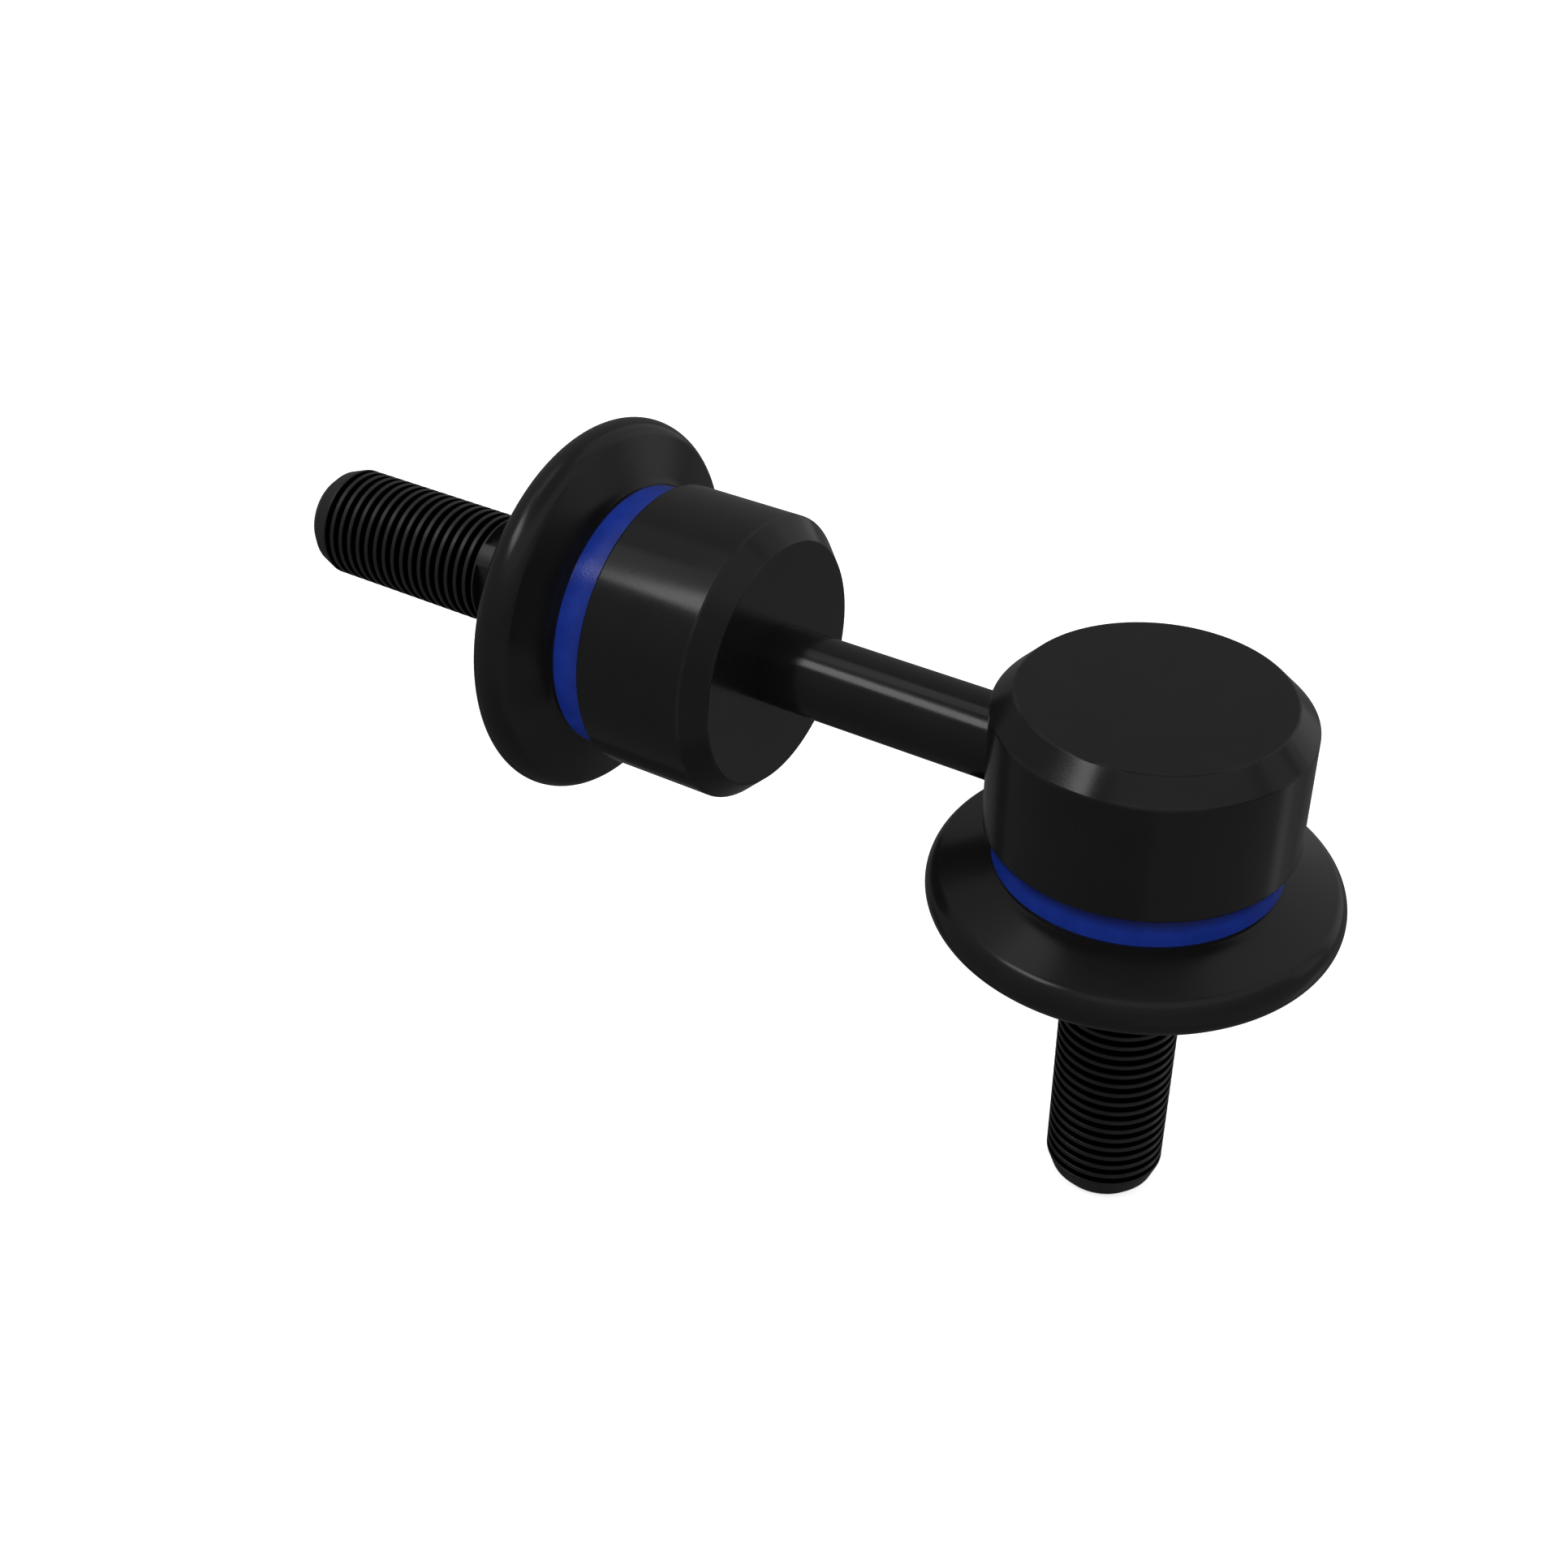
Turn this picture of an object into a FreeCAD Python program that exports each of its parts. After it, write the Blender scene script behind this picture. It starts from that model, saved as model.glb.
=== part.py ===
import FreeCAD, Part
import math
import os

# Short suspension link with a ball joint at each end, in millimetres and degrees.
# One joint stands across the rod, with its stud pointing down. The other is in line with the rod,
# with its stud pointing away along -X. Both joints hold the same pieces.
# The origin is the middle of the face that a bracket seats on, at the collar of the stud that
# points down. +Z points up that stud to its ball, and the rod runs along -X from there.

# Driving dimensions of the whole link
joint_spacing = 51.0
rod_radius = 4.25
tilt_limit = 15.0

# Driving dimensions of a ball stud, from its ball to its tip
ball_radius = 8.0
neck_radius = 4.5
neck_drop = 10.25
seal_seat_drop = 12.85
seal_seat_radius = 6.3
seal_seat_length = 4.8
collar_reach = 2.2
collar_height = 2.5
square_width = 10.0
square_length = 4.5
thread_radius = 6.0
thread_length = 23.0
thread_pitch = 1.25
thread_crest = 0.44
thread_depth = 0.6
thread_flank_angle = 30.0
thread_lead_in = 1.7
thread_run_out = 2.35
tip_radius = 5.39
tip_end_radius = 4.63
tip_length = 0.9

# Driving dimensions of the seats and what holds them
seat_clearance = 0.05
seat_wall = 1.95
seat_split = 0.1
seat_pole_radius = 4.5
seat_lip_clearance = 0.4
seat_flare_height = 0.4
washer_inner_radius = 5.2
washer_height = 0.8
washer_thickness = 0.45
lock_ring_height = 2.0
lock_ring_clearance = 0.9
press_gap = 0.02

# Driving dimensions of a housing
cap_thickness = 1.8
pole_gap = 0.55
housing_wall = 4.98
shoulder_drop = 4.15
chamfer_width = 2.1
chamfer_height = 2.2
neck_wall = 1.5
rolled_edge_height = 0.7
rolled_edge_cover = 1.0
bead_groove_depth = 0.4
bead_groove_height = 1.4
bead_groove_drop = 1.7
edge_radius = 0.25

# Driving dimensions of a boot and its rings
boot_gap = 0.08
boot_wall = 1.4
cuff_wall = 1.2
clamp_wall = 1.12
clamp_height = 3.5
face_slope = 20.3
rim_reach = 6.13
rim_drop = 4.05
rim_upper_width = 1.21
rim_under_width = 3.3
rim_under_height = 2.75
membrane_wave = 0.9
slide_ring_gap = 0.05
slide_ring_wall = 1.0
slide_flange_wall = 0.8
slide_flange_reach = 1.6
lip_wall = 1.35
lip_height = 3.3
spring_wire_radius = 0.45
spring_drop = 2.2

# Depths that follow, measured from a housing's closed face towards the tip of its stud
ball_depth = cap_thickness + pole_gap + ball_radius
shoulder_depth = ball_depth + shoulder_drop
neck_end_of_stud = ball_depth + neck_drop
seal_seat_depth = ball_depth + seal_seat_drop
collar_depth = seal_seat_depth + seal_seat_length
bracket_seat_depth = collar_depth + collar_height
thread_start_depth = bracket_seat_depth + square_length
thread_end_depth = thread_start_depth + thread_length
tip_depth = thread_end_depth + tip_length
bracket_seat_drop = bracket_seat_depth - ball_depth
seat_base_depth = cap_thickness + washer_height

# Radii that follow, from the ball outwards
seat_sphere_radius = ball_radius + seat_clearance
seat_radius = seat_sphere_radius + seat_wall
bore_radius = seat_radius + press_gap
housing_radius = bore_radius + housing_wall
housing_neck_radius = bore_radius + neck_wall
cuff_inner_radius = housing_neck_radius + boot_gap
cuff_outer_radius = cuff_inner_radius + cuff_wall
clamp_inner_radius = cuff_outer_radius + boot_gap
clamp_radius = clamp_inner_radius + clamp_wall
rim_radius = clamp_radius + rim_reach
collar_radius = seal_seat_radius + collar_reach

# Two tilts at right angles to each other add up to this swing of the stud
swing = math.acos(math.cos(math.radians(tilt_limit)) ** 2)
swing_slope = math.tan(swing)
neck_reach = neck_radius / math.cos(swing)

# The seat's lip stands seat_lip_clearance off the neck when the stud is swung all the way, so
# its drop h solves sqrt(seat_sphere_radius^2 - h^2) = h * swing_slope + lip_reach
lip_reach = neck_reach + seat_lip_clearance
slope_term = 1 + swing_slope ** 2
lip_root = math.sqrt(slope_term * seat_sphere_radius ** 2 - lip_reach ** 2)
seat_lip_drop = (lip_root - swing_slope * lip_reach) / slope_term
seat_lip_radius = seat_lip_drop * swing_slope + lip_reach
seat_end_depth = ball_depth + seat_lip_drop + seat_flare_height
lock_ring_end_depth = seat_end_depth + lock_ring_height
lock_ring_end_drop = lock_ring_end_depth - ball_depth
lock_ring_bore = lock_ring_end_drop * swing_slope + neck_reach + lock_ring_clearance
housing_end_depth = lock_ring_end_depth + rolled_edge_height

# The boot's two ends and the rings on them
clamp_end_depth = shoulder_depth + clamp_height
flange_depth = clamp_end_depth + boot_gap
rim_depth = clamp_end_depth + rim_drop
groove_depth = shoulder_depth + bead_groove_drop
slide_inner_radius = seal_seat_radius + slide_ring_gap
slide_outer_radius = slide_inner_radius + slide_ring_wall
slide_flange_radius = slide_outer_radius + slide_flange_reach
slide_end_depth = collar_depth - 2 * slide_ring_gap
slide_flange_depth = slide_end_depth - slide_flange_wall
lip_inner_radius = slide_outer_radius + boot_gap
lip_outer_radius = lip_inner_radius + lip_wall
lip_end_depth = slide_flange_depth - boot_gap
lip_start_depth = lip_end_depth - lip_height
spring_depth = lip_start_depth + spring_drop

BALL_CENTRE = FreeCAD.Vector(0, 0, 0)
UP = FreeCAD.Vector(0, 0, 1)
ACROSS = FreeCAD.Vector(0, 1, 0)
ALONG = FreeCAD.Vector(1, 0, 0)
FULL_TURN = 360
QUARTER_TURN = 90
SAME_PLACE = 1e-6


def at(radius, depth):
    """A point of a turned outline. The ball's centre is the origin, and the stud points down."""
    return FreeCAD.Vector(radius, 0, ball_depth - depth)


def straight(points):
    """The straight edges that join a row of outline points."""
    return [Part.makeLine(start, end) for start, end in zip(points, points[1:])]


def quarter_ellipse(start, corner, end):
    """An elliptical arc from start to end, tangent there to the two lines that meet at corner."""
    curve = Part.BezierCurve()
    curve.setPoles([start, corner, end])
    curve.setWeight(2, math.sqrt(0.5))
    return curve.toShape()


def level_curve(start, end):
    """A smooth step from start to end that leaves and arrives square to Z."""
    middle = (start.x + end.x) / 2
    leaving = FreeCAD.Vector(middle, 0, start.z)
    arriving = FreeCAD.Vector(middle, 0, end.z)
    curve = Part.BezierCurve()
    curve.setPoles([start, leaving, arriving, end])
    return curve.toShape()


def turn(edges):
    """The solid that a closed outline of edges sweeps in a full turn about Z."""
    outline = Part.Wire(edges)
    return Part.Face(outline).revolve(BALL_CENTRE, UP, FULL_TURN)


def turned(outline):
    """The solid of a turned outline of straight edges, given as (radius, depth) pairs."""
    points = [at(radius, depth) for radius, depth in outline]
    return turn(straight(points + points[:1]))


def rounded(shape, rings):
    """The shape with its circular edges at the given (radius, depth) pairs rounded."""
    edges = []
    for edge in shape.Edges:
        if not isinstance(edge.Curve, Part.Circle):
            continue
        for radius, depth in rings:
            same_radius = abs(edge.Curve.Radius - radius) < SAME_PLACE
            same_height = abs(edge.Curve.Center.z - at(radius, depth).z) < SAME_PLACE
            if same_radius and same_height:
                edges.append(edge)
    return shape.makeFillet(edge_radius, edges)


def torus(radius, depth, wire_radius):
    """A ring of round wire about Z."""
    return Part.makeTorus(radius, wire_radius, at(0, depth), UP)


def housing():
    """Closed cup with a chamfered face, a neck for the boot, and its edge rolled over the ring."""
    cap_radius = housing_radius - chamfer_width
    groove_radius = housing_neck_radius - bead_groove_depth
    groove_start = groove_depth - bead_groove_height / 2
    groove_end = groove_depth + bead_groove_height / 2
    rolled_radius = bore_radius - rolled_edge_cover
    shell = turned([
        (0, 0),
        (cap_radius, 0),
        (housing_radius, chamfer_height),
        (housing_radius, shoulder_depth),
        (housing_neck_radius, shoulder_depth),
        (housing_neck_radius, groove_start),
        (groove_radius, groove_start),
        (groove_radius, groove_end),
        (housing_neck_radius, groove_end),
        (housing_neck_radius, housing_end_depth),
        (rolled_radius, housing_end_depth),
        (rolled_radius, lock_ring_end_depth),
        (bore_radius, lock_ring_end_depth),
        (bore_radius, cap_thickness),
        (0, cap_thickness),
    ])
    outer_rings = [
        (cap_radius, 0),
        (housing_radius, chamfer_height),
        (housing_radius, shoulder_depth),
    ]
    return rounded(shell, outer_rings)


def preload_washer():
    """Conical spring washer. It bears on the cup's floor inside and on the seat cup outside."""
    outer_radius = seat_radius - washer_thickness
    return turned([
        (washer_inner_radius, cap_thickness),
        (outer_radius, seat_base_depth - washer_thickness),
        (outer_radius, seat_base_depth),
        (washer_inner_radius, cap_thickness + washer_thickness),
    ])


def seat_cup():
    """Bearing half on the closed side, with a grease hole at its pole."""
    end_depth = ball_depth - seat_split / 2
    ring = turned([
        (seat_pole_radius, seat_base_depth),
        (seat_radius, seat_base_depth),
        (seat_radius, end_depth),
        (seat_pole_radius, end_depth),
    ])
    return ring.cut(Part.makeSphere(seat_sphere_radius))


def seat_ring():
    """Bearing half on the open side. Its lip passes the equator and flares to clear the neck."""
    start_depth = ball_depth + seat_split / 2
    ring = turned([
        (seat_lip_radius, start_depth),
        (seat_radius, start_depth),
        (seat_radius, seat_end_depth),
        (lock_ring_bore, seat_end_depth),
        (seat_lip_radius, ball_depth + seat_lip_drop),
    ])
    return ring.cut(Part.makeSphere(seat_sphere_radius))


def lock_ring():
    """Flat ring that closes the bore behind the seat ring."""
    return turned([
        (lock_ring_bore, seat_end_depth),
        (seat_radius, seat_end_depth),
        (seat_radius, lock_ring_end_depth),
        (lock_ring_bore, lock_ring_end_depth),
    ])


def boot_clamp():
    """Ring around the boot's cuff, between the housing's shoulder and the boot's flange."""
    return turned([
        (clamp_inner_radius, shoulder_depth),
        (clamp_radius, shoulder_depth),
        (clamp_radius, clamp_end_depth),
        (clamp_inner_radius, clamp_end_depth),
    ])


def face_point(radius, wall):
    """A point of the boot's conical face, or of its inner side, which lies a wall below it."""
    slope = math.radians(face_slope)
    drop = (radius - clamp_radius) * math.tan(slope) + wall / math.cos(slope)
    return at(radius, flange_depth + drop)


def face_end(wall):
    """The outer end of the boot's conical face, where its rim begins, inset by a wall."""
    inset = wall * math.sin(math.radians(face_slope))
    return face_point(rim_radius - rim_upper_width - inset, wall)


def rim_curve(wall):
    """The edges around the boot's rim, from its face to its underside, inset by a wall."""
    outer_radius = rim_radius - wall
    lower_depth = rim_depth + rim_under_height - wall
    outermost = at(outer_radius, rim_depth)
    lower = at(rim_radius - rim_under_width, lower_depth)
    upper_side = quarter_ellipse(face_end(wall), face_point(outer_radius, wall), outermost)
    lower_side = quarter_ellipse(outermost, at(outer_radius, lower_depth), lower)
    return [upper_side, lower_side]


def membrane_curve(wall):
    """The edges of one side of the boot's wavy underside, from the rim to the small lip."""
    rim_end = at(rim_radius - rim_under_width, rim_depth + rim_under_height - wall)
    lip_end = at(lip_outer_radius, lip_start_depth + boot_wall - wall)
    middle = (rim_end + lip_end) / 2
    crest = middle + UP * membrane_wave
    return [level_curve(rim_end, crest), level_curve(crest, lip_end)]


def boot():
    """Rubber bellows: beaded cuff, conical face on the clamp, wide rim, wavy underside, lip."""
    cuff_start = shoulder_depth + boot_gap
    bead_radius = housing_neck_radius - bead_groove_depth + boot_gap
    bead_start = groove_depth - bead_groove_height / 2 + boot_gap
    bead_end = groove_depth + bead_groove_height / 2 - boot_gap
    outside = straight([
        at(cuff_outer_radius, cuff_start),
        at(cuff_outer_radius, flange_depth),
        at(clamp_radius, flange_depth),
        face_end(0),
    ])
    outside += rim_curve(0)
    outside += membrane_curve(0)
    lip = straight([
        at(lip_outer_radius, lip_start_depth + boot_wall),
        at(lip_outer_radius, lip_end_depth),
        at(lip_inner_radius, lip_end_depth),
        at(lip_inner_radius, lip_start_depth),
        at(lip_outer_radius, lip_start_depth),
    ])
    inside = membrane_curve(boot_wall)
    inside += rim_curve(boot_wall)
    cuff = straight([
        face_end(boot_wall),
        face_point(clamp_radius, boot_wall),
        at(cuff_inner_radius, flange_depth),
        at(cuff_inner_radius, bead_end),
        at(bead_radius, bead_end),
        at(bead_radius, bead_start),
        at(cuff_inner_radius, bead_start),
        at(cuff_inner_radius, cuff_start),
        at(cuff_outer_radius, cuff_start),
    ])
    edges = Part.sortEdges(outside + lip + inside + cuff)[0]
    spring_groove = torus(lip_outer_radius, spring_depth, spring_wire_radius + boot_gap)
    return turn(edges).cut(spring_groove)


def slide_ring():
    """Flanged ring under the boot's small lip, in which the stud's seal seat turns."""
    return turned([
        (slide_inner_radius, lip_start_depth),
        (slide_outer_radius, lip_start_depth),
        (slide_outer_radius, slide_flange_depth),
        (slide_flange_radius, slide_flange_depth),
        (slide_flange_radius, slide_end_depth),
        (slide_inner_radius, slide_end_depth),
    ])


def lip_spring():
    """Closed wire ring in the groove around the boot's small lip."""
    return torus(lip_outer_radius, spring_depth, spring_wire_radius)


def threaded_end():
    """The thread as grooves square to the stud, and the plain tip beyond it."""
    flank_slope = math.tan(math.radians(thread_flank_angle))
    root_radius = thread_radius - thread_depth
    open_half = (thread_pitch - thread_crest) / 2
    root_half = open_half - thread_depth * flank_slope
    first_groove = thread_end_depth - thread_run_out
    room = first_groove - open_half - thread_start_depth
    groove_count = math.floor(room / thread_pitch) + 1
    outline = [(0, thread_start_depth), (thread_radius, thread_start_depth)]
    for groove_number in reversed(range(groove_count)):
        middle = first_groove - groove_number * thread_pitch
        outline.append((thread_radius, middle - open_half))
        outline.append((root_radius, middle - root_half))
        outline.append((root_radius, middle + root_half))
        outline.append((thread_radius, middle + open_half))
    outline.append((thread_radius, thread_end_depth - thread_lead_in))
    outline.append((tip_radius, thread_end_depth))
    outline.append((tip_end_radius, tip_depth))
    outline.append((0, tip_depth))
    return turned(outline)


def square_neck():
    """Square section with its corners turned to the thread's outer radius."""
    end = at(0, thread_start_depth)
    corner = end - (ALONG + ACROSS) * (square_width / 2)
    square = Part.makeBox(square_width, square_width, square_length, corner)
    return square.common(Part.makeCylinder(thread_radius, square_length, end, UP))


def ball_stud():
    """Ball, neck, seal seat, collar, square neck and thread in one forging."""
    shank = turned([
        (0, ball_depth),
        (neck_radius, ball_depth),
        (neck_radius, neck_end_of_stud),
        (seal_seat_radius, seal_seat_depth),
        (seal_seat_radius, collar_depth),
        (collar_radius, collar_depth),
        (collar_radius, bracket_seat_depth),
        (0, bracket_seat_depth),
    ])
    shank = rounded(shank, [(collar_radius, collar_depth), (collar_radius, bracket_seat_depth)])
    sections = [Part.makeSphere(ball_radius), square_neck(), threaded_end()]
    return shank.multiFuse(sections).Solids[0]


def joint_pieces():
    """Every piece of one ball joint by name, in the frame of its ball."""
    return {
        "housing": housing(),
        "preload_washer": preload_washer(),
        "seat_cup": seat_cup(),
        "seat_ring": seat_ring(),
        "lock_ring": lock_ring(),
        "boot_clamp": boot_clamp(),
        "boot": boot(),
        "slide_ring": slide_ring(),
        "lip_spring": lip_spring(),
        "ball_stud": ball_stud(),
    }


def place_radial(shape):
    """Raises a joint's piece so that the bracket's seat is at the origin's height."""
    placed = shape.copy()
    placed.translate(UP * bracket_seat_drop)
    return placed


def place_axial(shape):
    """Lays a joint's piece down with its stud along -X, at the far end of the link."""
    placed = shape.copy()
    placed.rotate(BALL_CENTRE, ACROSS, QUARTER_TURN)
    placed.translate(UP * bracket_seat_drop - ALONG * joint_spacing)
    return placed


def link_rod():
    """Round bar from the radial housing's side to the axial housing's closed face."""
    length = joint_spacing - ball_depth
    axis_start = UP * bracket_seat_drop
    bar = Part.makeCylinder(rod_radius, length, axis_start, -ALONG)
    housing_side = Part.makeCylinder(housing_radius, 2 * bracket_seat_drop)
    return bar.cut(housing_side)


def write(name, shape):
    """One STEP file for a piece, which is a single valid solid."""
    if len(shape.Solids) != 1 or not shape.isValid():
        raise ValueError(name + " is not one valid solid")
    shape.exportStep(os.path.join("parts", name + ".step"))


os.makedirs("parts", exist_ok=True)
write("link_rod", link_rod())
for name, piece in joint_pieces().items():
    write("radial_" + name, place_radial(piece))
for name, piece in joint_pieces().items():
    write("axial_" + name, place_axial(piece))
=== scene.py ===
# %% [markdown]
# A short suspension link
#
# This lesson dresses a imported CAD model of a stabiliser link: a steel rod with a ball joint at each
# end. The steel is coated black, a blue ring holds each rubber boot, and a fine-threaded stud leaves
# each joint. The CAD gives the places and sizes, so nothing is fitted here by eye: each new piece
# takes its place from the box of the solid that it stands for.

# %% Load the frame
import math

import bpy
import numpy as np
from mathutils import Euler, Matrix, Vector


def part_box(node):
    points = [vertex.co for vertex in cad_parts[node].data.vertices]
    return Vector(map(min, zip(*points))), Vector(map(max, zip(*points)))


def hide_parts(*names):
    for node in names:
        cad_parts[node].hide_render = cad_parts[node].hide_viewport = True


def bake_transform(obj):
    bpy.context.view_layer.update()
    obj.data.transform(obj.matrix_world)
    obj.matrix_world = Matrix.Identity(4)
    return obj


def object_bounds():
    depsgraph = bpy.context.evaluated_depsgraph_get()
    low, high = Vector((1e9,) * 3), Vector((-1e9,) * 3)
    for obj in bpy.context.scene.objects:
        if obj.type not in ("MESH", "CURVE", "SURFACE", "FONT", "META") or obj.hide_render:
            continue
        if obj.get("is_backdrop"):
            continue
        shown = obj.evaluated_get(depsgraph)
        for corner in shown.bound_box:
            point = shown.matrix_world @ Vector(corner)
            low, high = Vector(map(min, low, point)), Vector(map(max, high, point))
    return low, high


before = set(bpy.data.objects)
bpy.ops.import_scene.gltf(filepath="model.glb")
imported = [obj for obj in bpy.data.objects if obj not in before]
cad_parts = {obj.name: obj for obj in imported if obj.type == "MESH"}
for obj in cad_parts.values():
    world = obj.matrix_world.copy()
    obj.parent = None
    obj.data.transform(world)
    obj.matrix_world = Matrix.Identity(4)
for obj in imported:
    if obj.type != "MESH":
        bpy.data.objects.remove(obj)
cad_low, cad_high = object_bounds()
print("pieces from the CAD:", len(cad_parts), "box in metres:", tuple(cad_low), tuple(cad_high))

# %% [markdown]
# Where the two ball joints stand
#
# Both joints hold the same pieces, so everything about a joint is drawn and shaded once, in its own
# coordinates: millimetres, with z as the depth from the housing's closed face towards the tip of the
# stud. One turn and one shift take those coordinates to each joint. The same two also feed a Mapping
# node, so that a pattern lies on both joints in the same way.

# %% Joint coordinates
MM = 0.001
radial_low, radial_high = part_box("radial_housing")
axial_low, axial_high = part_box("axial_housing")
axial_middle = (axial_low + axial_high) / 2
joints = {
    "radial": {"face": Vector((0, 0, radial_high.z)), "turn": Euler((math.pi, 0, 0))},
    "axial": {
        "face": Vector((axial_high.x, axial_middle.y, axial_middle.z)),
        "turn": Euler((0, math.pi / 2, 0)),
    },
}


def to_frame(joint, points):
    """Rows of (x, y, depth) in millimetres, turned back and shifted to the joint, in metres."""
    turn = np.array(joint["turn"].to_matrix())
    return np.asarray(points) * MM @ turn + np.array(joint["face"])


for name, joint in joints.items():
    print(name, "closed face at", tuple(round(v / MM, 2) for v in joint["face"]), "mm")

# %% [markdown]
# Camera
#
# The photograph looks down on the link from its front right. The heading, the dip and the place of
# the camera come from the ellipses of the housings and the lines of the studs, for a 50 mm lens.

# %% Camera
camera_place = Vector((0.06119, -0.15805, 0.13716))
camera_heading = math.radians(122.64)
camera_dip = math.radians(35.051)
camera_data = bpy.data.cameras.new("camera")
camera_data.lens = 50
camera = bpy.data.objects.new("camera", camera_data)
camera.location = camera_place
camera.rotation_euler = (math.pi / 2 - camera_dip, 0, camera_heading - math.pi / 2)
bpy.context.scene.collection.objects.link(camera)
bpy.context.scene.camera = camera
print("camera at", tuple(camera_place), "lens", camera_data.lens, "mm")

# %% [markdown]
# Node helpers
#
# A material is a tree of nodes. Three short helpers keep the trees readable: one adds a node and
# sets its values, one feeds a socket from a number or from another node, and one does a sum.


# %% Node helpers
# The places of a Mix node's colour sockets: it keeps one set of sockets for each kind of data
MIX_SHARE, MIX_FIRST, MIX_SECOND, MIX_COLOUR = 0, 6, 7, 2


def feed(tree, socket, value):
    """Links another node's output to the socket, or sets the socket to a plain value."""
    if isinstance(value, bpy.types.NodeSocket):
        tree.links.new(value, socket)
    else:
        socket.default_value = value


def add(tree, kind, inputs=None, **settings):
    """A new node of the kind, with its settings and its inputs."""
    node = tree.nodes.new(kind)
    for name, value in settings.items():
        setattr(node, name, value)
    for name, value in (inputs or {}).items():
        feed(tree, node.inputs[name], value)
    return node


def maths(tree, operation, *values):
    """The result of one Math node. Each value is a number or another node's output."""
    node = add(tree, "ShaderNodeMath", operation=operation)
    for socket, value in zip(node.inputs, values):
        feed(tree, socket, value)
    return node.outputs["Value"]


def fade(tree, value, start, end, low=0.0, high=1.0):
    """A smooth step from low to high as the value goes from start to end."""
    inputs = {"Value": value, "From Min": start, "From Max": end, "To Min": low, "To Max": high}
    node = add(tree, "ShaderNodeMapRange", inputs, interpolation_type="SMOOTHSTEP")
    return node.outputs["Result"]


def blend_colour(tree, share, first, second):
    """The first colour where the share is 0 and the second where it is 1."""
    node = add(tree, "ShaderNodeMix", data_type="RGBA")
    feed(tree, node.inputs[MIX_SHARE], share)
    feed(tree, node.inputs[MIX_FIRST], first)
    feed(tree, node.inputs[MIX_SECOND], second)
    return node.outputs[MIX_COLOUR]


def group(name, inputs, outputs):
    """An empty node group with named inputs and outputs, with its two end nodes."""
    tree = bpy.data.node_groups.new(name, "ShaderNodeTree")
    for label, kind in inputs.items():
        tree.interface.new_socket(label, in_out="INPUT", socket_type="NodeSocket" + kind)
    for label, kind in outputs.items():
        tree.interface.new_socket(label, in_out="OUTPUT", socket_type="NodeSocket" + kind)
    start = tree.nodes.new("NodeGroupInput")
    end = tree.nodes.new("NodeGroupOutput")
    return tree, start.outputs, end.inputs


def use(tree, group_tree, inputs):
    """The outputs of a group placed in a material, with that material's own values."""
    node = add(tree, "ShaderNodeGroup", node_tree=group_tree)
    for name, value in inputs.items():
        feed(tree, node.inputs[name], value)
    return node.outputs


def srgb(red, green, blue):
    """A colour given as 0 to 255, as a picture stores it, in the linear values that nodes use."""
    shares = np.array([red, green, blue]) / 255
    linear = np.where(shares <= 0.04045, shares / 12.92, ((shares + 0.055) / 1.055) ** 2.4)
    return (*linear.tolist(), 1.0)


print("a mid grey of 128 is", round(srgb(128, 128, 128)[0], 4), "in linear light")

# %% [markdown]
# Shared effects
#
# Every finish on the link has the same few habits. It has a fine grain in the coating, it is a
# little smoother or rougher from place to place, and it is thinner on the edges that other parts
# touch. Each habit is a node group that gives a mask, so that each finish can use it in its own
# strength.

# %% Grain
grain, grain_in, grain_out = group(
    "coating_grain",
    {"Place": "Vector", "Grain per mm": "Float", "Patches per mm": "Float"},
    {"Grain": "Float", "Patches": "Float"},
)
fine = add(grain, "ShaderNodeTexNoise", {
    "Vector": grain_in["Place"], "Scale": grain_in["Grain per mm"], "Detail": 2.0})
broad = add(grain, "ShaderNodeTexNoise", {
    "Vector": grain_in["Place"], "Scale": grain_in["Patches per mm"], "Detail": 3.0})
feed(grain, grain_out["Grain"], fine.outputs["Fac"])
feed(grain, grain_out["Patches"], fade(grain, broad.outputs["Fac"], 0.3, 0.7))
print("group:", grain.name)

# %% Radius and depth of a turned piece
turned, turned_in, turned_out = group(
    "turned_place", {"Place": "Vector"}, {"Radius": "Float", "Depth": "Float"})
flat = add(turned, "ShaderNodeVectorMath", operation="MULTIPLY")
feed(turned, flat.inputs[0], turned_in["Place"])
feed(turned, flat.inputs[1], (1.0, 1.0, 0.0))
length = add(turned, "ShaderNodeVectorMath", operation="LENGTH")
feed(turned, length.inputs[0], flat.outputs["Vector"])
parts = add(turned, "ShaderNodeSeparateXYZ")
feed(turned, parts.inputs[0], turned_in["Place"])
feed(turned, turned_out["Radius"], length.outputs["Value"])
feed(turned, turned_out["Depth"], parts.outputs["Z"])
print("group:", turned.name)

# %% Wear along a ring-shaped edge
wear, wear_in, wear_out = group(
    "edge_wear",
    {"Radius": "Float", "Depth": "Float", "Edge Radius": "Float", "Edge Depth": "Float",
     "Width": "Float", "Patches": "Float"},
    {"Wear": "Float"},
)
off_radius = maths(wear, "SUBTRACT", wear_in["Radius"], wear_in["Edge Radius"])
off_depth = maths(wear, "SUBTRACT", wear_in["Depth"], wear_in["Edge Depth"])
across = maths(wear, "POWER", off_radius, 2.0)
away = maths(wear, "SQRT", maths(wear, "ADD", across, maths(wear, "POWER", off_depth, 2.0)))
near = fade(wear, maths(wear, "DIVIDE", away, wear_in["Width"]), 1.0, 0.0)
feed(wear, wear_out["Wear"], maths(wear, "MULTIPLY", near, wear_in["Patches"]))
print("group:", wear.name)


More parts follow.
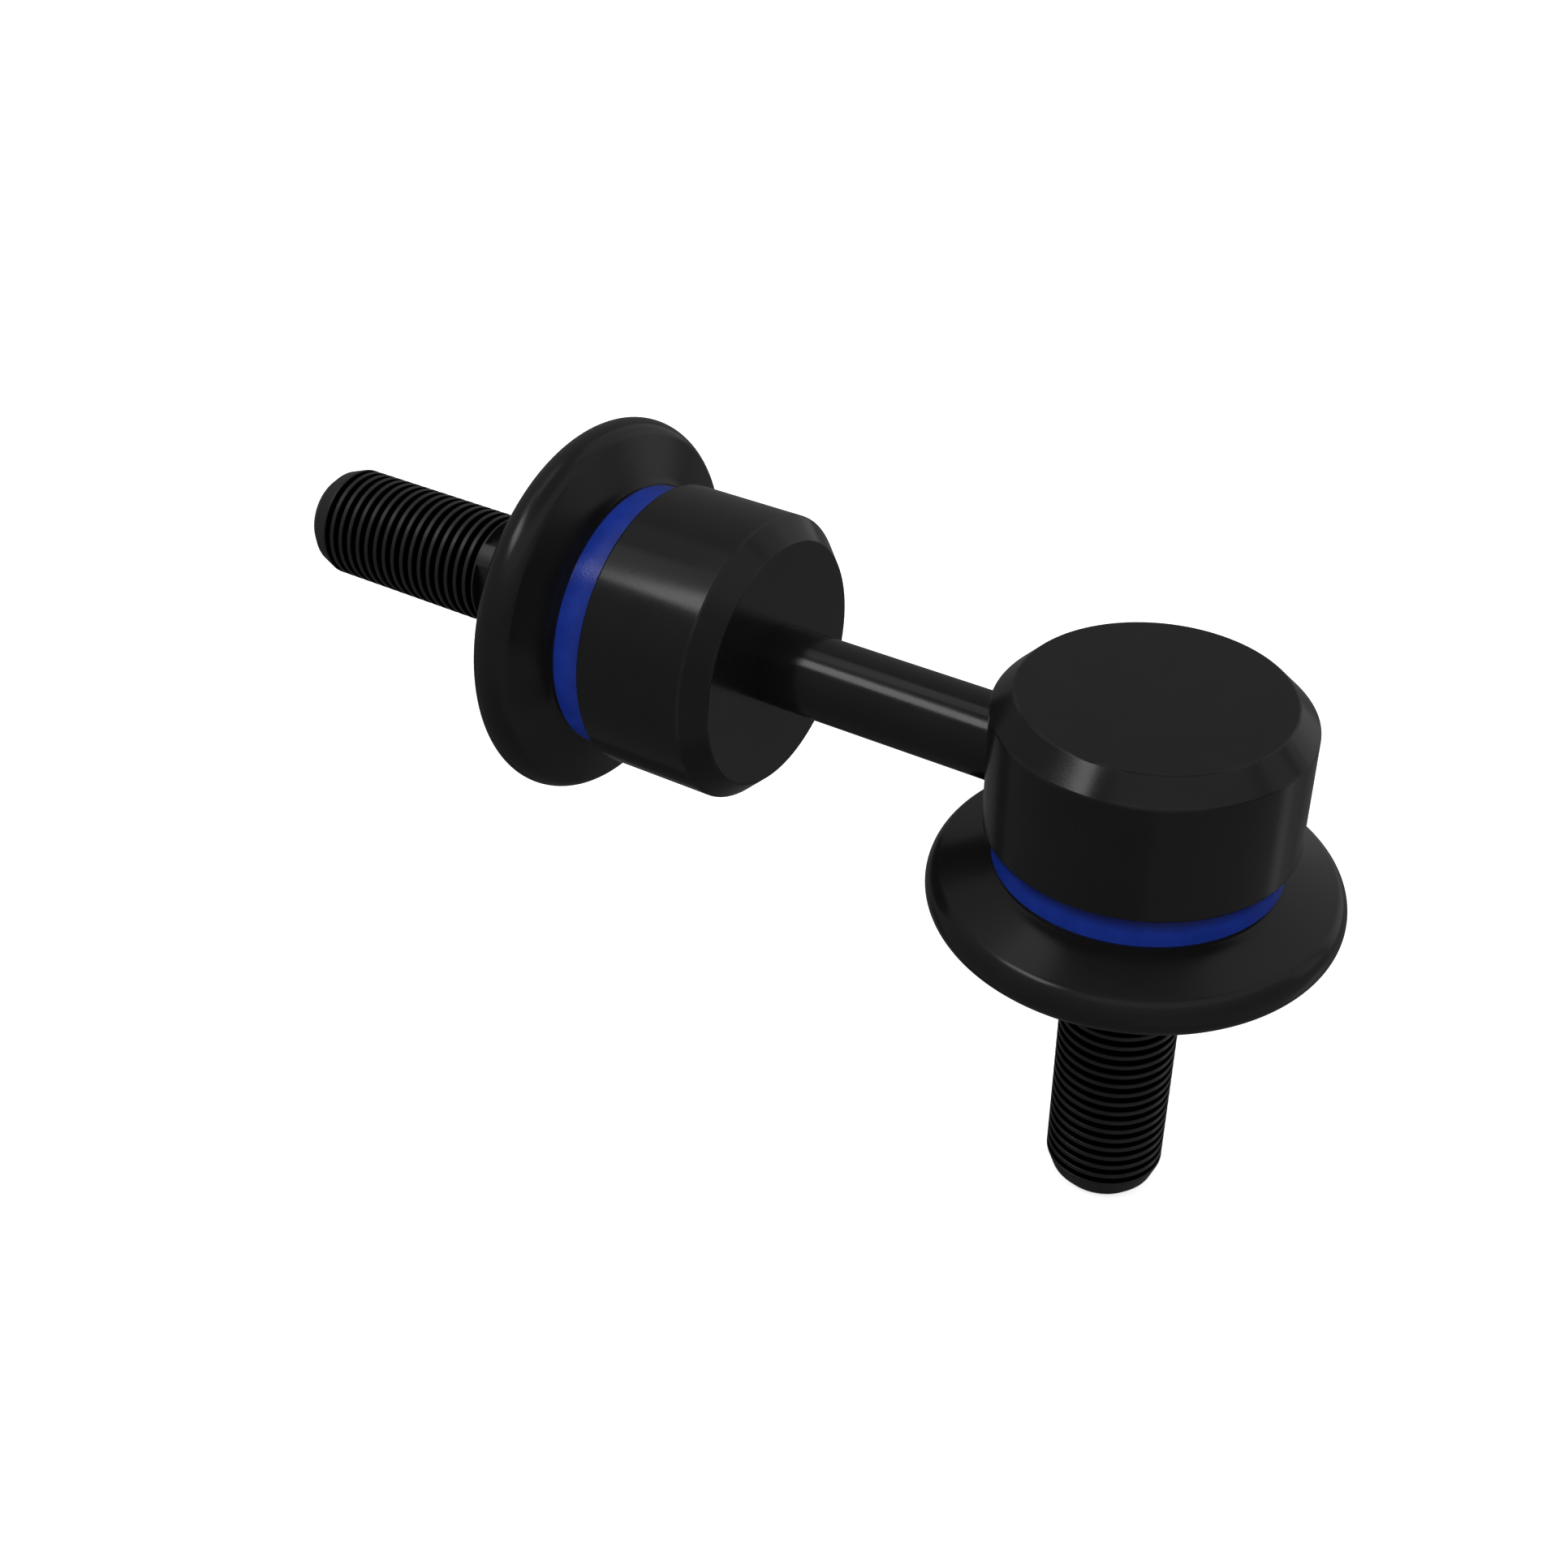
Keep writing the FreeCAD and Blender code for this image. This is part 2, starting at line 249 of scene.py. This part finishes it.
# %% A material's start
def finish(name):
    """A new material with its Principled shader, ready for its own colour and grain."""
    made = bpy.data.materials.new(name)
    made.use_nodes = True
    tree = made.node_tree
    return made, tree, tree.nodes["Principled BSDF"]


def joint_place(tree, joint):
    """Object coordinates turned and shifted to the joint's own, in millimetres."""
    place = add(tree, "ShaderNodeTexCoord").outputs["Object"]
    shift = joint["turn"].to_matrix() @ joint["face"] / -MM
    inputs = {"Vector": place, "Location": shift, "Rotation": joint["turn"], "Scale": (1 / MM,) * 3}
    return add(tree, "ShaderNodeMapping", inputs).outputs["Vector"]


print("a Mapping node's scale from metres to millimetres:", 1 / MM)

# %% [markdown]
# Black coated steel
#
# The housings and the rod have a thin, smooth black coat. Such a coat has next to no colour of its
# own: what the eye sees is the room in it. So the base colour is nearly black, the roughness is low
# and changes a little in patches, and a very shallow bump spreads the edges of the reflections.


# %% Black coat
# The radius and depth of a housing's three outer edges, which the coat wears off first
housing_edges = [(12.9, 0.0), (15.0, 2.2), (15.0, 14.5)]
edge_width = 0.3


def black_coat(name, joint, edges):
    """Thin black coat on steel, a little thinner along the given (radius, depth) edges."""
    made, tree, shader = finish(name)
    place = joint_place(tree, joint)
    marks = use(tree, grain, {"Place": place, "Grain per mm": 7.0, "Patches per mm": 0.22})
    at = use(tree, turned, {"Place": place})
    worn = 0.0
    for edge_radius, edge_depth in edges:
        one = use(tree, wear, {
            "Radius": at["Radius"], "Depth": at["Depth"], "Edge Radius": edge_radius,
            "Edge Depth": edge_depth, "Width": edge_width, "Patches": marks["Patches"]})
        worn = maths(tree, "MAXIMUM", one["Wear"], worn)
    colour = blend_colour(tree, marks["Patches"], srgb(16, 16, 16), srgb(18, 18, 18))
    feed(tree, shader.inputs["Base Color"], blend_colour(tree, worn, colour, srgb(30, 30, 31)))
    smooth = fade(tree, marks["Patches"], 0.0, 1.0, 0.11, 0.14)
    grainy = maths(tree, "MULTIPLY_ADD", marks["Grain"], 0.06, smooth)
    feed(tree, shader.inputs["Roughness"], grainy)
    bump = add(tree, "ShaderNodeBump", {
        "Height": marks["Grain"], "Strength": 0.15, "Distance": 0.02 * MM})
    feed(tree, shader.inputs["Normal"], bump.outputs["Normal"])
    return made


coats = {name: black_coat(name + "_black_coat", joint, housing_edges)
         for name, joint in joints.items()}
rod_coat = black_coat("rod_black_coat", joints["axial"], [])
print("made", sorted(made.name for made in coats.values()))

# %% [markdown]
# Black studs
#
# The studs are phosphated steel: black, with a shine on the thread's crests that is stronger than
# that of the coat. The grooves are painted shade: a nearly black, rough metal that mirrors next to
# nothing. The depth of the thread is known, so the radius from the stud's own line says where a
# groove is.


# %% Stud finish
# A crest starts between these two radii, and the thread starts and ends between these depths
crest_rise = (5.9, 5.98)
thread_start = (35.12, 35.22)
thread_end = (56.06, 56.12)


def black_stud(name, joint):
    """
    Phosphated steel, paler on the crests of the thread. Its grooves are painted shade: a metal with
    a nearly black colour mirrors nothing and has no bright edge at a grazing view, as a coat would
    have.
    """
    made, tree, shader = finish(name)
    place = joint_place(tree, joint)
    marks = use(tree, grain, {"Place": place, "Grain per mm": 9.0, "Patches per mm": 0.5})
    at = use(tree, turned, {"Place": place})
    crest = fade(tree, at["Radius"], *crest_rise)
    before_thread = fade(tree, at["Depth"], *thread_start, 1.0, 0.0)
    past_thread = fade(tree, at["Depth"], *thread_end)
    # Painted shade: in the grooves, where none of these masks holds, the steel becomes near-black
    # rough metal
    shown = maths(tree, "MAXIMUM", maths(tree, "MAXIMUM", crest, before_thread), past_thread)
    bright = blend_colour(tree, marks["Patches"], srgb(8, 8, 8), srgb(12, 12, 12))
    feed(tree, shader.inputs["Base Color"], blend_colour(tree, shown, srgb(2, 2, 2), bright))
    feed(tree, shader.inputs["Metallic"], maths(tree, "SUBTRACT", 1.0, shown))
    shader.inputs["Specular IOR Level"].default_value = 1.0
    rough = maths(tree, "MULTIPLY_ADD", marks["Grain"], 0.12, 0.24)
    feed(tree, shader.inputs["Roughness"], fade(tree, shown, 0.0, 1.0, 0.9, rough))
    bump = add(tree, "ShaderNodeBump", {
        "Height": marks["Grain"], "Strength": 0.4, "Distance": 0.02 * MM})
    feed(tree, shader.inputs["Normal"], bump.outputs["Normal"])
    return made


studs = {name: black_stud(name + "_stud_finish", joint) for name, joint in joints.items()}
print("made", sorted(made.name for made in studs.values()))

# %% [markdown]
# Blue rings
#
# A blue ring clamps each boot to its housing. Its coat is a strong blue with a coarser grain than
# the black one, which breaks its highlight into small sparks. Along the housing's edge the blue is
# darkened as painted shade, where the housing shades the ring, more on the upright joint than on
# the lying one.


# %% Blue coat
# The painted shade thins out from the housing's edge, between these two depths
painted_shade_depths = (14.8, 16.8)


def blue_coat(name, joint, painted_shade):
    """Strong blue coat with a coarse grain, and a painted shade along the housing's edge."""
    made, tree, shader = finish(name)
    place = joint_place(tree, joint)
    marks = use(tree, grain, {"Place": place, "Grain per mm": 6.5, "Patches per mm": 0.4})
    colour = blend_colour(tree, marks["Patches"], srgb(23, 49, 144), srgb(28, 55, 155))
    depth = use(tree, turned, {"Place": place})["Depth"]
    # Painted shade: towards the housing's edge the blue darkens, where the housing shades the ring
    unshaded = fade(tree, depth, *painted_shade_depths, 1.0 - painted_shade, 1.0)
    feed(tree, shader.inputs["Base Color"], blend_colour(tree, unshaded, srgb(6, 16, 66), colour))
    rough = maths(tree, "MULTIPLY_ADD", marks["Grain"], 0.08, 0.08)
    feed(tree, shader.inputs["Roughness"], rough)
    bump = add(tree, "ShaderNodeBump", {
        "Height": marks["Grain"], "Strength": 0.8, "Distance": 0.02 * MM})
    feed(tree, shader.inputs["Normal"], bump.outputs["Normal"])
    return made


# How strong the painted shade is on each joint, strongest on the upright one
painted_shades = {"radial": 1.0, "axial": 0.15}
blues = {name: blue_coat(name + "_blue_coat", joint, painted_shades[name])
         for name, joint in joints.items()}
print("made", sorted(made.name for made in blues.values()))

# %% [markdown]
# Pieces inside
#
# The seats are a pale bearing plastic, and the washers and lock rings are plain steel. They hardly
# show from outside, but they show in a section and when the studs swing to their limits, so they
# get a finish of their own.


# %% Bearing plastic and plain steel
def bearing_plastic(name, joint):
    """Natural bearing plastic with faint cloudy patches."""
    made, tree, shader = finish(name)
    place = joint_place(tree, joint)
    marks = use(tree, grain, {"Place": place, "Grain per mm": 4.0, "Patches per mm": 0.6})
    colour = blend_colour(tree, marks["Patches"], srgb(196, 190, 172), srgb(208, 203, 188))
    feed(tree, shader.inputs["Base Color"], colour)
    rough = maths(tree, "MULTIPLY_ADD", marks["Grain"], 0.12, 0.38)
    feed(tree, shader.inputs["Roughness"], rough)
    return made


def plain_steel(name, joint, level):
    """Turned steel with fine rings from the tool, which follow the radius and the depth."""
    made, tree, shader = finish(name)
    place = joint_place(tree, joint)
    marks = use(tree, grain, {"Place": place, "Grain per mm": 6.0, "Patches per mm": 0.6})
    at = use(tree, turned, {"Place": place})
    along = maths(tree, "ADD", at["Radius"], at["Depth"])
    rings = add(tree, "ShaderNodeTexNoise", {"W": along, "Scale": 9.0}, noise_dimensions="1D")
    dark, light = srgb(level - 14, level - 13, level - 12), srgb(level, level + 1, level + 3)
    colour = blend_colour(tree, rings.outputs["Fac"], dark, light)
    feed(tree, shader.inputs["Base Color"], colour)
    shader.inputs["Metallic"].default_value = 1.0
    rough = maths(tree, "MULTIPLY_ADD", marks["Grain"], 0.15, 0.3)
    feed(tree, shader.inputs["Roughness"], rough)
    return made


plastics = {name: bearing_plastic(name + "_plastic", joint) for name, joint in joints.items()}
steels = {name: plain_steel(name + "_bare_steel", joint, 176) for name, joint in joints.items()}
springs = {name: plain_steel(name + "_spring_steel", joint, 150) for name, joint in joints.items()}
print("made", len(plastics) + len(steels) + len(springs), "finishes for the inside")

# %% [markdown]
# Rubber
#
# The boots are moulded black rubber with a skin nearly as smooth as the steel's coat. A fine
# leathery grain and a little bloom, the grey film that comes out of rubber, keep it from looking
# like more steel.


# %% Rubber
def rubber(name, joint):
    """Moulded black rubber: fine grain, and a grey bloom in faint patches."""
    made, tree, shader = finish(name)
    place = joint_place(tree, joint)
    marks = use(tree, grain, {"Place": place, "Grain per mm": 6.0, "Patches per mm": 0.15})
    colour = blend_colour(tree, marks["Patches"], srgb(18, 18, 18), srgb(21, 21, 21))
    feed(tree, shader.inputs["Base Color"], colour)
    smooth = fade(tree, marks["Patches"], 0.0, 1.0, 0.16, 0.2)
    feed(tree, shader.inputs["Roughness"], maths(tree, "MULTIPLY_ADD", marks["Grain"], 0.06, smooth))
    bump = add(tree, "ShaderNodeBump", {
        "Height": marks["Grain"], "Strength": 0.1, "Distance": 0.02 * MM})
    feed(tree, shader.inputs["Normal"], bump.outputs["Normal"])
    return made


rubbers = {name: rubber(name + "_rubber", joint) for name, joint in joints.items()}
print("made", sorted(made.name for made in rubbers.values()))

# %% [markdown]
# Dress the CAD pieces
#
# The solids keep their shapes. Each gets the finish of what it is made of, by its name.

# %% Dress the CAD pieces
finish_of = {
    "housing": coats, "ball_stud": studs, "boot_clamp": blues, "boot": rubbers,
    "preload_washer": springs, "lip_spring": springs, "lock_ring": steels,
    "seat_cup": plastics, "seat_ring": plastics, "slide_ring": plastics,
}


def dress(node, made):
    """The node's only material is the given one."""
    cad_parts[node].data.materials.clear()
    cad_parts[node].data.materials.append(made)


for name in joints:
    for piece, made in finish_of.items():
        dress(name + "_" + piece, made[name])
dress("link_rod", rod_coat)
print("dressed", 2 * len(finish_of) + 1, "pieces")

# %% [markdown]
# Boots
#
# A boot is a soft bellows: a cuff under the blue ring, a flange on the ring, a wide rim, and a wavy
# underside that ends in a small lip on the stud. The studs swing, and a boot bends with them. Here
# a boot is two skins that meet on the rim: the upper one from the cuff to the rim, and the lower one
# from the rim to the lip. Each skin is a profile turned about the joint's line, and a Solidify
# modifier gives it its wall.


# %% Profiles
def conic(start, corner, end, count=25):
    """
    An elliptical arc from start to end whose end tangents meet at corner C:
    P = ((1 - t)^2 A + 2 t (1 - t) w C + t^2 B) / ((1 - t)^2 + 2 t (1 - t) w + t^2), w = sqrt(1/2).
    """
    start, corner, end = np.array(start), np.array(corner), np.array(end)
    share = np.linspace(0, 1, count)[:, None]
    first, last = (1 - share) ** 2, share ** 2
    mid = 2 * share * (1 - share) * math.sqrt(0.5)
    return (first * start + mid * corner + last * end) / (first + mid + last)


def ease(start, end, count=20):
    """A smooth step: the radius goes evenly from start to end, the depth by 3s^2 - 2s^3."""
    share = np.linspace(0, 1, count)
    radius = start[0] + (end[0] - start[0]) * share
    depth = start[1] + (end[1] - start[1]) * share ** 2 * (3 - 2 * share)
    return np.column_stack([radius, depth])


def half_ring(centre, radius, count=25):
    """The inner half of a circle about centre, where a wire lies: (c - r cos t, d - r sin t)."""
    angles = np.radians(np.linspace(90, -90, count))
    return np.column_stack([
        centre[0] - radius * np.cos(angles), centre[1] - radius * np.sin(angles)])


def join_up(*runs):
    """One profile from runs of points, without the points that two runs share."""
    points = np.vstack([np.atleast_2d(run) for run in runs])
    moved = np.linalg.norm(np.diff(points, axis=0), axis=1) > 1e-6
    return points[np.concatenate([[True], moved])]


# Radii and depths in millimetres: the cuff, the blue ring and the boot's flange on it
cuff_radius, cuff_start = 12.8, 14.58
ring_radius, ring_end, flange_depth = 14.0, 18.01, 18.08
# The conical face's slope and outer end, and the rim's widest line
slope = math.tan(math.radians(20.3))
rim_radius, rim_depth = 20.13, 22.05
face_radius = 18.92
# The small lip, and the middle and radius of the groove in which its wire ring lies
lip_radius, lip_top, lip_end, lip_bore = 8.8, 25.1, 27.02, 7.45
spring_depth, spring_groove = 25.92, 0.53


def on_face(radius):
    """The point of the conical face at a radius."""
    return (radius, flange_depth + slope * (radius - ring_radius))


face_end = on_face(face_radius)
rim_corner = on_face(rim_radius)
rim_under = (rim_radius - 3.3, rim_depth + 2.75)
shoulder_profile = join_up(
    (cuff_radius, cuff_start), (cuff_radius, ring_end - 0.1), (cuff_radius + 0.1, ring_end),
    (ring_radius - 0.3, ring_end), (ring_radius, ring_end),
    (ring_radius + 0.3, flange_depth + 0.3 * slope - 0.02),
    np.linspace(on_face(ring_radius + 0.6), face_end, 16))
wave_middle = ((rim_under[0] + lip_radius) / 2, (rim_under[1] + lip_top) / 2 - 0.9)
bulge_profile = join_up(
    conic(face_end, rim_corner, (rim_radius, rim_depth)),
    conic((rim_radius, rim_depth), (rim_radius, rim_under[1]), rim_under),
    ease(rim_under, wave_middle), ease(wave_middle, (lip_radius, lip_top)),
    half_ring((lip_radius, spring_depth), spring_groove),
    (lip_radius, lip_end), (lip_bore, lip_end))
print("profile points:", len(shoulder_profile), "and", len(bulge_profile))


# %% Turned skins
def turned_skin(name, profile, joint, around=160):
    """A profile of (radius, depth) turned about the joint's line: (r cos a, r sin a, depth)."""
    angles = np.linspace(0, 2 * math.pi, around, endpoint=False)
    radius, depth = profile[:, 0][:, None], profile[:, 1][:, None]
    grid = np.stack([
        radius * np.cos(angles), radius * np.sin(angles), depth + 0 * angles], axis=-1)
    rows, across = np.arange(len(profile) - 1)[:, None], np.arange(around)
    after = (across + 1) % around
    faces = np.stack([
        rows * around + across, rows * around + after,
        (rows + 1) * around + after, (rows + 1) * around + across], axis=-1)
    mesh = bpy.data.meshes.new(name)
    mesh.from_pydata(to_frame(joint, grid.reshape(-1, 3)), [], faces.reshape(-1, 4))
    mesh.polygons.foreach_set("use_smooth", np.ones(len(mesh.polygons), bool))
    skin = bpy.data.objects.new(name, mesh)
    bpy.context.scene.collection.objects.link(skin)
    return skin


def give_wall(skin, thickness, made):
    """A wall on the skin's inner side, with sharp edges where the skin ends, and a finish."""
    mesh = skin.data
    wall = skin.modifiers.new("wall", "SOLIDIFY")
    wall.thickness, wall.offset = thickness * MM, -1
    mesh.materials.append(made)
    used = np.zeros(len(mesh.loops), int)
    mesh.loops.foreach_get("edge_index", used)
    open_edge = np.bincount(used, minlength=len(mesh.edges)) == 1
    sharp = mesh.attributes.new("sharp_edge", "BOOLEAN", "EDGE")
    sharp.data.foreach_set("value", open_edge)
    return skin


skin_wall = 0.9
for name, joint in joints.items():
    shoulder = turned_skin(name + "_boot_shoulder", shoulder_profile, joint)
    bulge = turned_skin(name + "_boot_bulge", bulge_profile, joint)
    for skin in (shoulder, bulge):
        give_wall(skin, skin_wall, rubbers[name])
        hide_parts(name + "_boot")
    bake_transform(shoulder)
    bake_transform(bulge)
    print(name, "boot skins:", len(shoulder.data.polygons), "and", len(bulge.data.polygons), "faces")

# %% [markdown]
# The room
#
# The background is white, as a camera ray or a ray through glass sees it. The black pieces mirror a
# much darker room in the photograph, so glossy rays see that room, at its own strength: a grey that
# rises with the height, with paler and darker windows. All but the last window are set to the
# photograph's reflections. The last one only lights the back, which the photograph hides.
# Rays that gather soft light see a bright, even room, at which a colour renders about as it is
# written. The world is not sampled as a lamp, because such samples carry no ray kind.


# %% Windows of the room
def rise(tree, height, levels):
    """A grey that follows the height of a direction through (height, level) pairs."""
    ramp = add(tree, "ShaderNodeValToRGB", {"Fac": height})
    stops = ramp.color_ramp.elements
    while len(stops) < len(levels):
        stops.new(0.5)
    for stop, (place, level) in zip(stops, levels):
        stop.position = place / 2 + 0.5
        stop.color = (level, level, level, 1)
    return ramp.outputs["Color"]


window, window_in, window_out = group(
    "window",
    {"Bearing": "Float", "Height": "Float", "Left": "Float", "Right": "Float", "Low": "Float",
     "High": "Float", "Softness": "Float"},
    {"Mask": "Float"},
)


def past(edge, value):
    """How far a value is past an edge, from 0 to 1 over the window's softness on both sides."""
    before = maths(window, "SUBTRACT", window_in[edge], window_in["Softness"])
    after = maths(window, "ADD", window_in[edge], window_in["Softness"])
    return fade(window, window_in[value], before, after)


across_window = maths(window, "SUBTRACT", past("Left", "Bearing"), past("Right", "Bearing"))
up_window = maths(window, "SUBTRACT", past("Low", "Height"), past("High", "Height"))
feed(window, window_out["Mask"], maths(window, "MULTIPLY", across_window, up_window))
print("group:", window.name)

# %% World
world = bpy.data.worlds.new("room")
world.use_nodes = True
world.cycles.sampling_method = "NONE"
bpy.context.scene.world = world
room = world.node_tree
background = room.nodes["Background"]
direction = add(room, "ShaderNodeTexCoord").outputs["Generated"]
part_of = add(room, "ShaderNodeSeparateXYZ", {"Vector": direction}).outputs
half_height = maths(room, "MULTIPLY_ADD", part_of["Z"], 0.5, 0.5)
soft_room = rise(room, half_height, [(-1, 0.1), (0, 0.37), (0.5, 0.82), (1, 1)])
mirror_room = rise(room, half_height, [
    (-1, 0.06), (-0.6, 0.09), (-0.3, 0.11), (0, 0.13), (0.35, 0.175), (0.75, 0.2), (1, 0.14)])
bearing = maths(room, "DEGREES", maths(room, "ARCTAN2", part_of["Y"], part_of["X"]))
steepness = maths(room, "DEGREES", maths(room, "ARCSINE", part_of["Z"]))
# Each window's left and right bearing, its low and high edge, its softness, and its level
windows = [
    (-60, 64, -46, -4, 5, 0.135),
    (162, 182, -50, -20, 6, 0.03),
    (137, 190, -63, -50, 3, 0.025),
    (-176, -137, 49, 61, 4, 0.6),
    (150, 186, 50, 61, 5, 0.3),
    (-96, 42, 34, 64, 4, 0.34),
    (24, 42, -1, 34, 3, 0.34),
    (48, 86, -9, 70, 3, 0.35),
    (53, 73, -7, 22, 4, 0.44),
    (40, 52, -48, -26, 3, 0.28),
    (86, 98, -9, 60, 3, 0.38),
]
for left, right, low, high, softness, level in windows:
    mask = use(room, window, {
        "Bearing": bearing, "Height": steepness, "Left": left, "Right": right, "Low": low,
        "High": high, "Softness": softness})["Mask"]
    mirror_room = blend_colour(room, mask, mirror_room, (level, level, level, 1))
ray = add(room, "ShaderNodeLightPath").outputs
level = blend_colour(room, ray["Is Glossy Ray"], soft_room, mirror_room)
see_white = maths(room, "MAXIMUM", ray["Is Camera Ray"], ray["Is Transmission Ray"])
feed(room, background.inputs["Color"], blend_colour(room, see_white, level, (1, 1, 1, 1)))
print("world nodes:", len(room.nodes))

# %% [markdown]
# Lamps
#
# A large soft box stands behind the camera's left shoulder, where the photograph's highlights put
# it, and a weaker one above and behind the link fills the top. Each is an area lamp that faces the
# middle of the link, at the height and bearing from which its highlights come.

# %% Lamps
middle = (cad_low + cad_high) / 2
lamp_distance = 0.7


def soft_box(name, bearing, height, wide, high, watts):
    """An area lamp seen from the link at a bearing and a height, so many degrees wide and high."""
    around, up = math.radians(bearing), math.radians(height)
    away = Vector((math.cos(around) * math.cos(up), math.sin(around) * math.cos(up), math.sin(up)))
    data = bpy.data.lights.new(name, "AREA")
    data.shape, data.energy = "RECTANGLE", watts
    data.size = 2 * lamp_distance * math.tan(math.radians(wide / 2))
    data.size_y = 2 * lamp_distance * math.tan(math.radians(high / 2))
    lamp = bpy.data.objects.new(name, data)
    lamp.location = middle + away * lamp_distance
    lamp.rotation_euler = away.to_track_quat("Z", "Y").to_euler()
    bpy.context.scene.collection.objects.link(lamp)
    print(name, "is", round(data.size, 3), "by", round(data.size_y, 3), "m")
    return lamp


soft_box("main_box", -126.5, 53.0, 22, 14, 0.42)
soft_box("upper_box", 173, 68.5, 20, 11, 0.052)

# %% [markdown]
# Floor
#
# The link stands on the tip of its lower stud on a pale floor. To a camera ray the floor is nearly
# as white as the background, and a little of it is left to the lamps, so that it keeps the link's
# shadow. To a glossy ray it is clear, so that the black pieces mirror the same dark room below.

# %% Floor
floor_mesh = bpy.data.meshes.new("floor")
reach = 1.5
corners = np.array([(-1, -1), (1, -1), (1, 1), (-1, 1)]) * reach
floor_mesh.from_pydata(np.column_stack([corners, np.full(4, cad_low.z)]), [], [(0, 1, 2, 3)])
floor = bpy.data.objects.new("floor", floor_mesh)
bpy.context.scene.collection.objects.link(floor)
floor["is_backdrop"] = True
floor_finish, tree, shader = finish("pale_floor")
shader.inputs["Base Color"].default_value = (0.8, 0.8, 0.8, 1)
shader.inputs["Roughness"].default_value = 0.9
shader.inputs["Emission Color"].default_value = (1, 1, 1, 1)
ray = add(tree, "ShaderNodeLightPath").outputs
feed(tree, shader.inputs["Emission Strength"], maths(tree, "MULTIPLY", ray["Is Camera Ray"], 0.7))
clear = add(tree, "ShaderNodeBsdfTransparent")
mix = add(tree, "ShaderNodeMixShader", {"Fac": ray["Is Glossy Ray"]})
tree.links.new(shader.outputs["BSDF"], mix.inputs[1])
tree.links.new(clear.outputs["BSDF"], mix.inputs[2])
tree.links.new(mix.outputs["Shader"], tree.nodes["Material Output"].inputs["Surface"])
floor_mesh.materials.append(floor_finish)
print("floor at", round(cad_low.z, 4), "m")

# %% [markdown]
# Picture settings and the last look at the size
#
# The colours are shown as they are, with the Standard view. The box of the dressed model is printed,
# to set beside the CAD model's box printed at the start. The dressed model may not be larger than
# the CAD model.

# %% Finish
bpy.context.scene.view_settings.view_transform = "Standard"
low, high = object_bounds()
print("box of the dressed link:", tuple(low), tuple(high))
